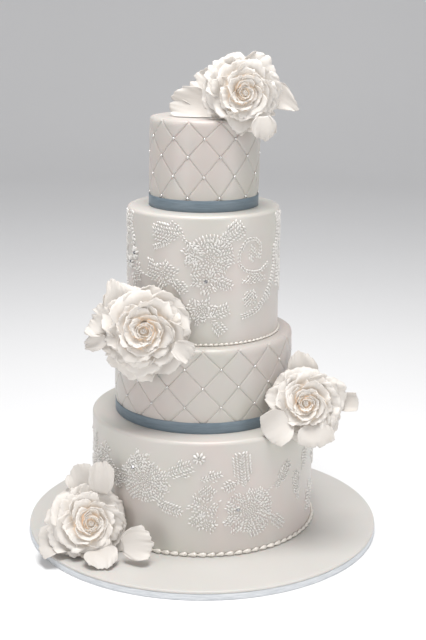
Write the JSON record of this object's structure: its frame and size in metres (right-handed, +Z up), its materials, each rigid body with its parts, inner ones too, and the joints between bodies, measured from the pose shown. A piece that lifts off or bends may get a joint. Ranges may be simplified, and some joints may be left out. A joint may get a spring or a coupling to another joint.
{
  "type": "tiered wedding cake",
  "caption": "Tall round wedding cake on an iced board, with quilted and lace-piped tiers, satin ribbons, bead borders and open sugar roses.",
  "frame": {"origin": "bottom centre of the cake board, where it stands", "axes": "+Z up, -Y toward the front, where the roses are; the cake's own axis stands 10 mm behind the board's centre"},
  "size_m": [0.4904, 0.4904, 0.6603],
  "materials": {
    "board_card": "plain",
    "board_icing": "smooth satin icing",
    "silver_satin": "satin",
    "lace_icing": "pearly icing",
    "tier_icing": "pearly icing",
    "border_icing": "piped icing",
    "slate_satin": "satin",
    "sugar_petal": "dull sugar paste"
  },
  "bodies": {
    "root": {"board_drum": "board_card", "board_icing": "board_icing", "board_ribbon": "silver_satin", "tier_1": "lace_icing", "tier_2": "tier_icing", "tier_3": "lace_icing", "tier_4": "tier_icing", "border_1": "border_icing", "border_3": "border_icing", "ribbon_2": "slate_satin", "ribbon_4": "slate_satin", "rose_board": "sugar_petal", "rose_left": "sugar_petal", "rose_right": "sugar_petal", "rose_top": "sugar_petal", "petal_board_up": "sugar_petal", "petal_board_back": "sugar_petal", "petal_board_left": "sugar_petal", "petal_board_front": "sugar_petal", "petal_board_right": "sugar_petal", "petal_left_upper": "sugar_petal", "petal_left_side": "sugar_petal", "petal_left_lower": "sugar_petal", "petal_left_right": "sugar_petal", "petal_right_top": "sugar_petal", "petal_right_lower": "sugar_petal", "petal_right_low": "sugar_petal", "petal_right_side": "sugar_petal", "petal_top_left": "sugar_petal", "petal_top_back": "sugar_petal", "petal_top_right": "sugar_petal", "petal_top_drape": "sugar_petal"}
  },
  "joints": []
}
